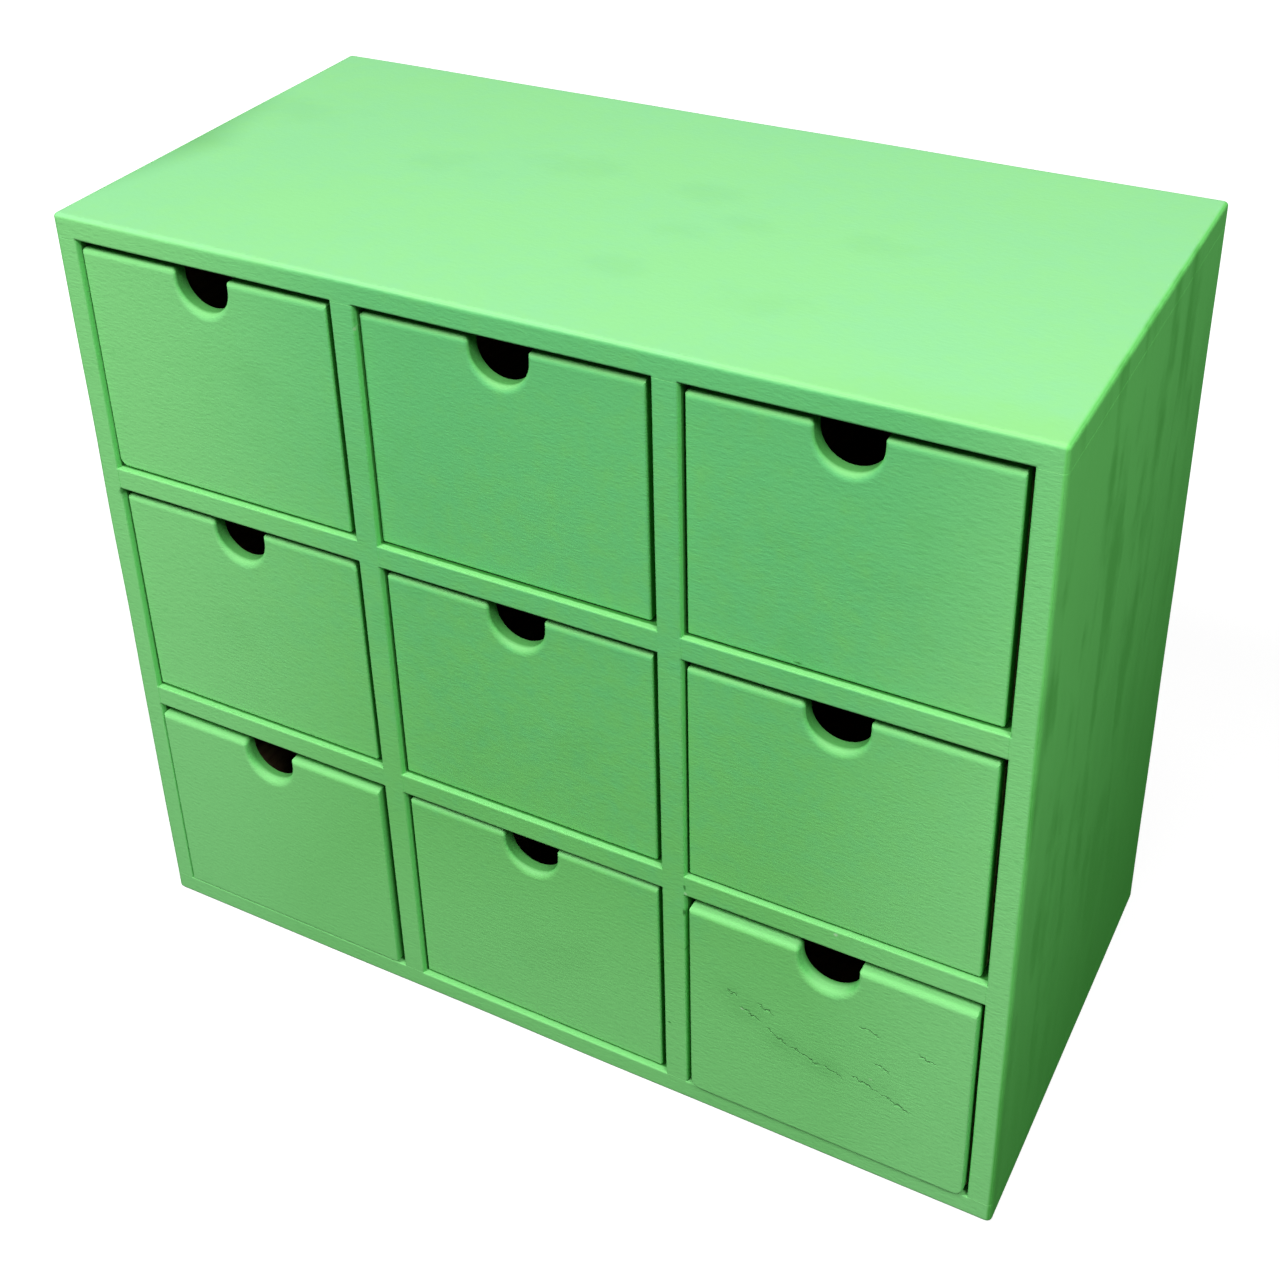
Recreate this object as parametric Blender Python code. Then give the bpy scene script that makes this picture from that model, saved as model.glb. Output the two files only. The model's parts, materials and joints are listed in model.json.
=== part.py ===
"""Small tabletop chest with nine drawers in three rows of three, in painted wood.

Metres, +Z up. X runs along the width, Y from the front to the back, and the
origin is the middle of the base. Each drawer slides out towards -Y, is pulled
by a half-round finger notch in its top edge, and stands as far in or out as it
was last left.
"""
import math

import bmesh
import bpy
from mathutils import Matrix, Vector

# Carcase
WIDTH = 0.360
DEPTH = 0.178
HEIGHT = 0.314
BOARD = 0.009
OUTER_ROUND = 0.0015
OPENING_ROUND = 0.0012
ROUND_STEPS = 2

# Every glue line and every place where pieces rest on each other
JOINT_GAP = 0.0003
# How far a cutter runs past the wood that it cuts
OVERRUN = 0.002

# Back panel, held all round in a groove of the four outer boards
PANEL_THICK = 0.003
PANEL_INSET = 0.005
PANEL_GROOVE_DEPTH = 0.004

# Drawer front
FRONT_THICK = 0.006
SIDE_PLAY = 0.0018
FRONT_LIFT = 0.0009
TOP_GAP = 0.0035
FRONT_ROUND = 0.0018
CORNER_RADIUS = 0.0020
WORN_CORNER_RADIUS = 0.003
CORNER_STEPS = 3
NOTCH_WIDTH = 0.022
NOTCH_STRAIGHT = 0.0035
NOTCH_LIP_RADIUS = 0.0020
NOTCH_STEPS = 12

# Drawer box behind the front
DRAWER_SIDE_THICK = 0.005
DRAWER_BACK_THICK = 0.005
DRAWER_BOTTOM_THICK = 0.003
SIDE_DROP = 0.0064
GROOVE_HEIGHT = 0.004
GROOVE_DEPTH = 0.0025

# Where each drawer stands: home is pushed right in against the back panel
HOME_INSET = 0.003
PULL_SPREAD = 0.0048

# Names from the bottom row up, each row from left to right
DRAWER_GRID = (
    ("bottom_left", "bottom_middle", "bottom_right"),
    ("middle_left", "centre", "middle_right"),
    ("top_left", "top_middle", "top_right"),
)
DIVIDER_NAMES = ("left_divider", "right_divider")
SHELF_NAMES = ("lower_shelf", "upper_shelf")

# Pulled out from home, as a share of PULL_SPREAD
PULL_SHARES = {
    "top_left": 0.23, "top_middle": 0.08, "top_right": 0.17,
    "middle_left": 0.17, "centre": 0.17, "middle_right": 0.29,
    "bottom_left": 0.77, "bottom_middle": 0.25, "bottom_right": 0.96,
}
# Left of the middle of the opening, as a share of SIDE_PLAY
LEAN_SHARES = {
    "top_left": 0.83, "top_middle": 0.72, "top_right": 0.36,
    "middle_left": 0.80, "centre": 0.45, "middle_right": 0.45,
    "bottom_left": 0.50, "bottom_middle": 0.42, "bottom_right": -0.22,
}
# Corners of the fronts that handling has worn rounder
WORN_CORNERS = {
    "top_left": ("low_left",),
    "middle_left": ("high_right",),
    "bottom_right": ("low_left", "low_right"),
}

PAINT = (0.150, 0.540, 0.170)
BARE_WOOD = (0.420, 0.270, 0.140)
HARDBOARD = (0.200, 0.110, 0.055)
PAINT_ROUGHNESS = 0.45
WOOD_ROUGHNESS = 0.70
SHARP_ANGLE = math.radians(35)

# Sizes that follow from the ones above
COLUMNS = len(DRAWER_GRID[0])
ROWS = len(DRAWER_GRID)
OPENING_WIDTH = (WIDTH - (COLUMNS + 1) * BOARD) / COLUMNS
OPENING_HEIGHT = (HEIGHT - (ROWS + 1) * BOARD) / ROWS
PROUD = max(0, max(PULL_SHARES.values()) * PULL_SPREAD - HOME_INSET)
FRONT_Y = (PROUD - DEPTH) / 2
BACK_Y = FRONT_Y + DEPTH
PANEL_BACK_Y = BACK_Y - PANEL_INSET
PANEL_FRONT_Y = PANEL_BACK_Y - PANEL_THICK
INNER_BACK_Y = PANEL_FRONT_Y - JOINT_GAP
FRONT_WIDTH = OPENING_WIDTH - 2 * SIDE_PLAY
FRONT_TOP = OPENING_HEIGHT - TOP_GAP
DRAWER_LENGTH = INNER_BACK_Y - FRONT_Y - HOME_INSET


def place(name, shape, location, parent=None):
    """Turn a bmesh into an object at a location, shaded smooth but for its sharp edges."""
    bmesh.ops.recalc_face_normals(shape, faces=shape.faces)
    mesh = bpy.data.meshes.new(name)
    shape.to_mesh(mesh)
    shape.free()
    mesh.shade_smooth()
    mesh.set_sharp_from_angle(angle=SHARP_ANGLE)
    obj = bpy.data.objects.new(name, mesh)
    obj.location = location
    obj.parent = parent
    bpy.context.scene.collection.objects.link(obj)
    return obj


def block(name, low, high, parent=None):
    """A box between two opposite corners, with its origin at its middle."""
    low = Vector(low)
    high = Vector(high)
    shape = bmesh.new()
    bmesh.ops.create_cube(shape, size=1, matrix=Matrix.Diagonal(high - low).to_4x4())
    return place(name, shape, (low + high) / 2, parent)


def loft(shape, rings):
    """Add a closed body that runs through rings of as many points each, with flat ends."""
    rows = []
    for ring in rings:
        rows.append([shape.verts.new(point) for point in ring])
    for row, following in zip(rows, rows[1:]):
        for index in range(len(row)):
            near = (index + 1) % len(row)
            shape.faces.new((row[index], row[near], following[near], following[index]))
    shape.faces.new(rows[0])
    shape.faces.new(rows[-1])


def as_cutter(obj):
    """Keep an object only as the tool of a cut."""
    obj.display_type = "WIRE"
    obj.hide_render = True
    return obj


def cut(obj, tool, operation="DIFFERENCE"):
    """Shape an object with another one."""
    modifier = obj.modifiers.new(tool.name, "BOOLEAN")
    modifier.operation = operation
    modifier.solver = "EXACT"
    modifier.object = tool


def finish(obj, colour, roughness):
    """Give an object its own material."""
    material = bpy.data.materials.new(obj.name)
    material.use_nodes = True
    shader = material.node_tree.nodes["Principled BSDF"]
    shader.inputs["Base Color"].default_value = (*colour, 1)
    shader.inputs["Roughness"].default_value = roughness
    shader.inputs["Metallic"].default_value = 0
    obj.data.materials.append(material)


def opening_low(row, column):
    """Lower left corner of a drawer's opening, as X and Z."""
    x = -WIDTH / 2 + BOARD + column * (OPENING_WIDTH + BOARD)
    z = BOARD + row * (OPENING_HEIGHT + BOARD)
    return x, z


def quarter_round(radius):
    """Steps round an edge, as distance drawn in at the face and depth behind the face."""
    steps = []
    for step in range(ROUND_STEPS + 1):
        angle = math.radians(90) * step / ROUND_STEPS
        steps.append((radius * (1 - math.sin(angle)), radius * (1 - math.cos(angle))))
    return steps


def outer_form():
    """The outside of the whole carcase, sanded round after it was glued up."""
    shape = bmesh.new()
    size = Vector((WIDTH, DEPTH, HEIGHT))
    bmesh.ops.create_cube(shape, size=1, matrix=Matrix.Diagonal(size).to_4x4())
    bmesh.ops.bevel(shape, geom=shape.edges[:], offset=OUTER_ROUND, segments=ROUND_STEPS,
                    profile=0.5, affect="EDGES")
    middle = Vector((0, (FRONT_Y + BACK_Y) / 2, HEIGHT / 2))
    return as_cutter(place("outer_form", shape, middle))


def opening_rounding():
    """What the rounding of the front edges takes away round all the openings."""
    shape = bmesh.new()
    steps = quarter_round(OPENING_ROUND)
    depth_steps = [(out, FRONT_Y + back) for out, back in steps]
    (near_out, near_y), (last_out, last_y) = depth_steps[-2:]
    slope = (last_out - near_out) / (last_y - near_y)
    first_out = depth_steps[0][0]
    depth_steps.insert(0, (first_out, FRONT_Y - OVERRUN))
    depth_steps[-1] = (last_out + slope * OVERRUN, last_y + OVERRUN)
    for row in range(ROWS):
        for column in range(COLUMNS):
            x, z = opening_low(row, column)
            rings = []
            for out, y in depth_steps:
                left = x - out
                right = x + OPENING_WIDTH + out
                low = z - out
                high = z + OPENING_HEIGHT + out
                rings.append(((left, y, low), (right, y, low), (right, y, high), (left, y, high)))
            loft(shape, rings)
    return as_cutter(place("opening_rounding", shape, (0, 0, 0)))


def crossing_slots(name, edges, low_y, high_y, axis):
    """Slots for the boards that cross, open at the front or at the back."""
    shape = bmesh.new()
    for edge in edges:
        size = Vector((2 * WIDTH, high_y - low_y, 2 * HEIGHT))
        middle = Vector((0, (low_y + high_y) / 2, HEIGHT / 2))
        size[axis] = BOARD + 2 * JOINT_GAP
        middle[axis] = edge + BOARD / 2
        matrix = Matrix.Translation(middle) @ Matrix.Diagonal(size).to_4x4()
        bmesh.ops.create_cube(shape, size=1, matrix=matrix)
    return as_cutter(place(name, shape, (0, 0, 0)))


def build_carcase():
    """Top, bottom, sides, dividers, shelves and the back panel."""
    outer = outer_form()
    rounding = opening_rounding()
    left = -WIDTH / 2
    right = WIDTH / 2
    top_under = HEIGHT - BOARD

    margin = BOARD - PANEL_GROOVE_DEPTH + JOINT_GAP
    panel_low = Vector((left + margin, PANEL_FRONT_Y, margin))
    panel_high = Vector((right - margin, PANEL_BACK_Y, HEIGHT - margin))
    room = Vector((JOINT_GAP, JOINT_GAP, JOINT_GAP))
    groove = as_cutter(block("back_groove", panel_low - room, panel_high + room))
    panel = block("back_panel", panel_low, panel_high)
    finish(panel, HARDBOARD, WOOD_ROUGHNESS)

    outer_boards = (
        block("top_board", (left - OVERRUN, FRONT_Y - OVERRUN, top_under),
              (right + OVERRUN, BACK_Y + OVERRUN, HEIGHT + OVERRUN)),
        block("bottom_board", (left - OVERRUN, FRONT_Y - OVERRUN, -OVERRUN),
              (right + OVERRUN, BACK_Y + OVERRUN, BOARD)),
        block("left_side_board", (left - OVERRUN, FRONT_Y - OVERRUN, BOARD + JOINT_GAP),
              (left + BOARD, BACK_Y + OVERRUN, top_under - JOINT_GAP)),
        block("right_side_board", (right - BOARD, FRONT_Y - OVERRUN, BOARD + JOINT_GAP),
              (right + OVERRUN, BACK_Y + OVERRUN, top_under - JOINT_GAP)),
    )
    for board in outer_boards:
        cut(board, outer, "INTERSECT")
        cut(board, rounding)
        cut(board, groove)
        finish(board, PAINT, PAINT_ROUGHNESS)

    divider_edges = [opening_low(0, column)[0] - BOARD for column in range(1, COLUMNS)]
    shelf_edges = [opening_low(row, 0)[1] - BOARD for row in range(1, ROWS)]
    middle_y = (FRONT_Y + INNER_BACK_Y) / 2
    shelf_slots = crossing_slots("shelf_slots", divider_edges, FRONT_Y - OVERRUN,
                                 middle_y + JOINT_GAP / 2, axis=0)
    divider_slots = crossing_slots("divider_slots", shelf_edges, middle_y - JOINT_GAP / 2,
                                   INNER_BACK_Y + OVERRUN, axis=2)
    for name, edge in zip(DIVIDER_NAMES, divider_edges):
        board = block(name, (edge, FRONT_Y, BOARD + JOINT_GAP),
                      (edge + BOARD, INNER_BACK_Y, top_under - JOINT_GAP))
        cut(board, divider_slots)
        cut(board, rounding)
        finish(board, PAINT, PAINT_ROUGHNESS)
    for name, edge in zip(SHELF_NAMES, shelf_edges):
        board = block(name, (left + BOARD + JOINT_GAP, FRONT_Y, edge),
                      (right - BOARD - JOINT_GAP, INNER_BACK_Y, edge + BOARD))
        cut(board, shelf_slots)
        cut(board, rounding)
        finish(board, PAINT, PAINT_ROUGHNESS)


def arc(centre, radius, first, last, steps, hollow=False):
    """Points of an arc in X and Z, each with the direction that leads out of the wood."""
    side = -1 if hollow else 1
    points = []
    for step in range(steps + 1):
        angle = math.radians(first + (last - first) * step / steps)
        ray = Vector((math.cos(angle), math.sin(angle)))
        points.append((Vector(centre) + radius * ray, side * ray))
    return points


def front_outline(worn):
    """Outline of a drawer front with its finger notch, anticlockwise from the lower left."""
    half = FRONT_WIDTH / 2
    radii = {}
    for corner in ("low_left", "low_right", "high_right", "high_left"):
        radii[corner] = WORN_CORNER_RADIUS if corner in worn else CORNER_RADIUS

    def corner_arc(corner, side, edge, inward, first):
        radius = radii[corner]
        centre = (side * (half - radius), edge + inward * radius)
        return arc(centre, radius, first, first + 90, CORNER_STEPS)

    lip = min(NOTCH_LIP_RADIUS, NOTCH_STRAIGHT)
    notch_radius = NOTCH_WIDTH / 2
    lip_x = notch_radius + lip
    lip_z = FRONT_TOP - lip
    return (
        corner_arc("low_left", -1, FRONT_LIFT, 1, 180)
        + corner_arc("low_right", 1, FRONT_LIFT, 1, 270)
        + corner_arc("high_right", 1, FRONT_TOP, -1, 0)
        + arc((lip_x, lip_z), lip, 90, 180, CORNER_STEPS)
        + arc((0, FRONT_TOP - NOTCH_STRAIGHT), notch_radius, 0, -180, NOTCH_STEPS, hollow=True)
        + arc((-lip_x, lip_z), lip, 0, 90, CORNER_STEPS)
        + corner_arc("high_left", -1, FRONT_TOP, -1, 90)
    )


def front_board(name, worn, parent):
    """A drawer front with its face at Y 0, rounded all round the face."""
    outline = front_outline(worn)
    rings = []
    for drawn_in, depth in quarter_round(FRONT_ROUND):
        ring = []
        for point, outward in outline:
            x, z = point - drawn_in * outward
            ring.append((x, depth, z))
        rings.append(ring)
    rings.append([(point.x, FRONT_THICK, point.y) for point, outward in outline])
    shape = bmesh.new()
    loft(shape, rings)
    return place(name, shape, (0, 0, 0), parent)


def build_drawer(name, x, z):
    """One drawer: its front, two sides, back and the bottom let into grooves."""
    pull = PULL_SHARES[name] * PULL_SPREAD
    lean = LEAN_SHARES[name] * SIDE_PLAY
    drawer = bpy.data.objects.new(name, None)
    drawer.location = (x + OPENING_WIDTH / 2 - lean, FRONT_Y + HOME_INSET - pull, z)
    bpy.context.scene.collection.objects.link(drawer)

    half = FRONT_WIDTH / 2
    inside = half - DRAWER_SIDE_THICK
    box_y = FRONT_THICK + JOINT_GAP
    side_top = FRONT_TOP - SIDE_DROP
    bottom_low = JOINT_GAP + GROOVE_HEIGHT + JOINT_GAP
    bottom_high = bottom_low + DRAWER_BOTTOM_THICK
    tongue = GROOVE_DEPTH - JOINT_GAP

    bottom_corners = (
        Vector((-inside - tongue, FRONT_THICK - tongue, bottom_low)),
        Vector((inside + tongue, DRAWER_LENGTH, bottom_high)),
    )
    room = Vector((JOINT_GAP, JOINT_GAP, JOINT_GAP))
    past_back = Vector((0, OVERRUN, 0))
    groove = as_cutter(block(name + "_groove", bottom_corners[0] - room,
                             bottom_corners[1] + room + past_back, drawer))

    front = front_board(name + "_drawer_front", WORN_CORNERS.get(name, ()), drawer)
    cut(front, groove)
    finish(front, PAINT, PAINT_ROUGHNESS)

    sides = (
        block(name + "_left_side", (-half, box_y, JOINT_GAP),
              (-inside, DRAWER_LENGTH, side_top), drawer),
        block(name + "_right_side", (inside, box_y, JOINT_GAP),
              (half, DRAWER_LENGTH, side_top), drawer),
    )
    for side in sides:
        cut(side, groove)
        finish(side, BARE_WOOD, WOOD_ROUGHNESS)

    back = block(name + "_back",
                 (-inside + JOINT_GAP, DRAWER_LENGTH - DRAWER_BACK_THICK, bottom_high + JOINT_GAP),
                 (inside - JOINT_GAP, DRAWER_LENGTH, side_top), drawer)
    finish(back, BARE_WOOD, WOOD_ROUGHNESS)
    bottom = block(name + "_bottom", *bottom_corners, drawer)
    finish(bottom, HARDBOARD, WOOD_ROUGHNESS)


for leftover in list(bpy.data.objects):
    bpy.data.objects.remove(leftover)

build_carcase()
for grid_row, names in enumerate(DRAWER_GRID):
    for grid_column, drawer_name in enumerate(names):
        build_drawer(drawer_name, *opening_low(grid_row, grid_column))
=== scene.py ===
"""Small tabletop chest with nine drawers, brush-painted green over bare wood.

Metres, +Z up, X along the width, Y from the front to the back, as in the frame.
"""
import json

import bpy
import numpy as np
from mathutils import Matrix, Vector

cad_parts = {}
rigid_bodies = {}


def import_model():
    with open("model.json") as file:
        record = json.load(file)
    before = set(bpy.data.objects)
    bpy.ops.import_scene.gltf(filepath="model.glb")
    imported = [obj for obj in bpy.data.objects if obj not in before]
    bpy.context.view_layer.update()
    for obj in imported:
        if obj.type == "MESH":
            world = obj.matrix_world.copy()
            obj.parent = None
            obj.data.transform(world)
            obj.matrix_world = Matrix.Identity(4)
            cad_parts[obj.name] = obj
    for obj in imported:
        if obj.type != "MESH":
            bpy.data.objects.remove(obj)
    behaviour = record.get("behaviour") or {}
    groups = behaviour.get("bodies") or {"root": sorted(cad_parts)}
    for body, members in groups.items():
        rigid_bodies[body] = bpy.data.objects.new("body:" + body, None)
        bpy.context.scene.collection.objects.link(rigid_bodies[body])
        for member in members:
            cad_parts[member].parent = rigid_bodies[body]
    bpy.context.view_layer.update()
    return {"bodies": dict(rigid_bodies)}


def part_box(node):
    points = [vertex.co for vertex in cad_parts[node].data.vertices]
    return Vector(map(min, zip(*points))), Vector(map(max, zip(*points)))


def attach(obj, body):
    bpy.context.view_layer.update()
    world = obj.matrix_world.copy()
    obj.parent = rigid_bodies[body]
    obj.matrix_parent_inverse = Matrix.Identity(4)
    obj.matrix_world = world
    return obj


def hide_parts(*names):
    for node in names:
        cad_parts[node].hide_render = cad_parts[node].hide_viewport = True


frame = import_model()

# ---------------------------------------------------------------------------
# Stand and light. The chest stands on a plain pale floor in a white room. It is
# lit by three fairly small soft lamps, at the left front, at the right front
# and overhead. The camera looks down on its right front corner.
# ---------------------------------------------------------------------------
PHOTO_SIDE = 1280
CAMERA_PLACE = (0.28818, -0.52229, 0.57777)
CAMERA_TURN = (1.05299, 0.03130, 0.50381)
SENSOR_WIDTH = 36
FOCAL_PIXELS = 1907.3
OPTICAL_CENTRE_PX = (605.9, 402.0)
BACKGROUND_WHITE = (1, 1, 1, 1)
ROOM_LIGHT = 0.10
FLOOR_HALF = 4
FLOOR_BOUNCE = (0.08, 0.08, 0.08, 1)
FLOOR_PALE = (0.65, 0.65, 0.65, 1)
# The floor glows where it is seen, from this near the chest to white where the lamps don't reach
FLOOR_GLOW_NEAR = (0.60, 0.60, 0.60, 1)
FLOOR_GLOW_REACH = (0.45, 1.3)
LAMPS = (
    # name, place, aimed at, width, depth, brightness of its face
    ("left_lamp", (-0.80, -1.39, 1.93), (0.0, 0.0, 0.15), 0.75, 0.75, 25.0),
    ("overhead_lamp", (0.36, -0.21, 1.70), (0.0, 0.0, 0.15), 0.6, 0.6, 5.5),
    ("right_lamp", (1.19, -1.00, 1.71), (0.0, 0.0, 0.15), 0.63, 0.63, 20.0),
)


class Amount:
    """What comes out of a node. Sums, differences and products of it add Math nodes."""

    def __init__(self, nodes, socket):
        self.nodes = nodes
        self.socket = socket

    def __add__(self, other):
        return self.nodes.math("ADD", self, other)

    __radd__ = __add__

    def __sub__(self, other):
        return self.nodes.math("SUBTRACT", self, other)

    def __rsub__(self, other):
        return self.nodes.math("SUBTRACT", other, self)

    def __mul__(self, other):
        return self.nodes.math("MULTIPLY", self, other)

    __rmul__ = __mul__

    def __neg__(self):
        return self.nodes.math("SUBTRACT", 0, self)

    def __abs__(self):
        return self.nodes.math("ABSOLUTE", self)


class Nodes:
    """The nodes of one material, or of the room."""

    def __init__(self, tree):
        self.tree = tree

    def node(self, kind, settings, sockets, output=0):
        """Add a node: its settings first, then a value or a link for each socket."""
        made = self.tree.nodes.new(kind)
        for key, value in settings.items():
            setattr(made, key, value)
        self.join(made, sockets)
        return None if output is None else Amount(self, made.outputs[output])

    def join(self, made, sockets):
        """Give each named socket of a node a value or a link."""
        for key, value in sockets.items():
            if isinstance(value, Amount):
                self.tree.links.new(value.socket, made.inputs[key])
            else:
                made.inputs[key].default_value = value

    def math(self, operation, *values):
        return self.node("ShaderNodeMath", {"operation": operation}, dict(enumerate(values)))

    def blend(self, share, low, high):
        """A colour from low at share 0 to high at share 1."""
        return self.node("ShaderNodeMix", {"data_type": "RGBA"}, {0: share, 6: low, 7: high}, 2)

    def seen_or_lit(self, seen, lit):
        """Join two shaders: one for what the camera sees, one for the light that is thrown."""
        camera_ray = self.node("ShaderNodeLightPath", {}, {}, "Is Camera Ray")
        return self.node("ShaderNodeMixShader", {}, {0: camera_ray, 1: lit, 2: seen})


def light_room():
    """White behind everything that is seen, and a weak even light from all round."""
    world = bpy.data.worlds.new("room")
    bpy.context.scene.world = world
    world.use_nodes = True
    world.node_tree.nodes.clear()
    nodes = Nodes(world.node_tree)
    seen = nodes.node("ShaderNodeBackground", {}, {"Color": BACKGROUND_WHITE, "Strength": 1})
    lit = nodes.node("ShaderNodeBackground", {}, {"Color": BACKGROUND_WHITE, "Strength": ROOM_LIGHT})
    nodes.node("ShaderNodeOutputWorld", {}, {"Surface": nodes.seen_or_lit(seen, lit)}, None)


def lay_floor():
    """A wide flat floor that looks pale, keeps the shadow, and throws little light back."""
    mesh = bpy.data.meshes.new("floor")
    half = FLOOR_HALF
    corners = [(-half, -half, 0), (half, -half, 0), (half, half, 0), (-half, half, 0)]
    mesh.from_pydata(corners, [], [(0, 1, 2, 3)])
    floor = bpy.data.objects.new("floor", mesh)
    bpy.context.scene.collection.objects.link(floor)
    material = bpy.data.materials.new("pale_floor")
    material.use_nodes = True
    material.node_tree.nodes.clear()
    nodes = Nodes(material.node_tree)
    place = nodes.node("ShaderNodeTexCoord", {}, {}, "Object")
    distance = nodes.node("ShaderNodeVectorMath", {"operation": "LENGTH"}, {0: place}, "Value")
    near, far = FLOOR_GLOW_REACH
    away = nodes.node("ShaderNodeMapRange", {}, {"Value": distance, "From Min": near, "From Max": far})
    glow_colour = nodes.blend(away, FLOOR_GLOW_NEAR, BACKGROUND_WHITE)
    glow = nodes.node("ShaderNodeEmission", {}, {"Color": glow_colour})
    pale = nodes.node("ShaderNodeBsdfDiffuse", {}, {"Color": FLOOR_PALE})
    seen = nodes.node("ShaderNodeAddShader", {}, {0: pale, 1: glow})
    lit = nodes.node("ShaderNodeBsdfDiffuse", {}, {"Color": FLOOR_BOUNCE})
    nodes.node("ShaderNodeOutputMaterial", {}, {"Surface": nodes.seen_or_lit(seen, lit)}, None)
    mesh.materials.append(material)


def hang_lamp(name, place, aim, width, depth, brightness):
    """A flat soft lamp whose face has the given brightness, turned towards a point."""
    lamp = bpy.data.lights.new(name, "AREA")
    lamp.shape = "RECTANGLE"
    lamp.size = width
    lamp.size_y = depth
    lamp.energy = brightness * np.pi * width * depth
    holder = bpy.data.objects.new(name, lamp)
    holder.location = place
    holder.rotation_euler = (Vector(aim) - Vector(place)).to_track_quat("-Z", "Y").to_euler()
    holder.visible_camera = False
    bpy.context.scene.collection.objects.link(holder)


def set_camera():
    """The camera, with its window slid so that the optical centre falls where the photograph has it."""
    data = bpy.data.cameras.new("camera")
    data.sensor_width = SENSOR_WIDTH
    data.lens = SENSOR_WIDTH * FOCAL_PIXELS / PHOTO_SIDE
    data.shift_x = (PHOTO_SIDE / 2 - OPTICAL_CENTRE_PX[0]) / PHOTO_SIDE
    data.shift_y = (OPTICAL_CENTRE_PX[1] - PHOTO_SIDE / 2) / PHOTO_SIDE
    camera = bpy.data.objects.new("camera", data)
    camera.location = CAMERA_PLACE
    camera.rotation_euler = CAMERA_TURN
    bpy.context.scene.collection.objects.link(camera)
    bpy.context.scene.camera = camera


light_room()
lay_floor()
for lamp_row in LAMPS:
    hang_lamp(*lamp_row)
set_camera()
bpy.context.scene.view_settings.view_transform = "Standard"

# ---------------------------------------------------------------------------
# Carcase boards. Nine sawn boards, glued: top and bottom over the two sides,
# dividers and shelves slotted into each other. The outside was sanded round
# after gluing, and so were the front edges of the nine openings.
# ---------------------------------------------------------------------------
OUTER_RADII = np.array((0.0020, 0.0020, 0.0016))
OUTER_UNEVEN = 0.35
OUTER_UNEVEN_LENGTH = 0.07
OPENING_RADIUS = 0.0010
SHELF_EDGE_RADIUS = 0.0006
OPENING_UNEVEN = 0.30
OPENING_UNEVEN_LENGTH = 0.05
SEAM_BREAK = 0.00012
SHELF_SET_BACK = 0.00010
BOARD_STEP = 0.008
# Where grid lines fall inside a rounding of radius 1, so that its faces turn evenly
ROUND_LINES = 1 - np.tan(np.radians((0, 15, 30)))
SUPPORT_LINE = 1.4
SAME_PLACE = 1e-7
SHARP_ANGLE = np.radians(40)
WAVES = np.arange(1, 6)
BODY_OF_CARCASE = "carcase"


def node_box(name):
    """Lowest and highest corner of a CAD solid as two rows."""
    return np.array([tuple(corner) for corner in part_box(name)])


CARCASE = np.array((node_box("bottom_board")[0], node_box("top_board")[1]))
UPRIGHTS = [node_box(name) for name in ("left_side_board", "left_divider", "right_divider",
                                        "right_side_board")]
LEVELS = [node_box(name) for name in ("bottom_board", "lower_shelf", "upper_shelf", "top_board")]
PANEL = node_box("back_panel")
FRONT_Y = CARCASE[0, 1]
OPENING_XS = np.array([(a[1, 0], b[0, 0]) for a, b in zip(UPRIGHTS, UPRIGHTS[1:])])
OPENING_ZS = np.array([(a[1, 2], b[0, 2]) for a, b in zip(LEVELS, LEVELS[1:])])
# One row for each of the nine openings: left, right, low, high
OPENINGS = np.array([(*across, *upright) for upright in OPENING_ZS for across in OPENING_XS])


def wobble(points, length, start):
    """Smooth unevenness within -1 and 1.

    It is the mean of five sine waves in odd directions, a crest per length.
    """
    ways = np.stack([np.sin(2.4 * WAVES + start), np.cos(1.7 * WAVES + 1.3 * start),
                     np.sin(3.1 * WAVES + 0.7 * start)])
    ways /= np.linalg.norm(ways, axis=0)
    return np.sin(points @ ways * (2 * np.pi / length) + WAVES * start).mean(axis=1)


def grid_lines(low, high, marks, step):
    """Grid lines from low to high.

    Each mark is places with offsets round them. Where two lines are further
    apart than a step, even lines fill the gap.
    """
    near = [np.add.outer(np.ravel(places), np.ravel(offsets)).ravel() for places, offsets in marks]
    lines = np.concatenate([[low, high]] + near)
    lines = np.unique(lines[(lines >= low) & (lines <= high)].round(7))
    counts = np.ceil(np.diff(lines) / step).astype(int)
    filled = [np.linspace(a, b, count, endpoint=False) for a, b, count in zip(lines, lines[1:], counts)]
    return np.concatenate(filled + [[high]])


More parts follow.
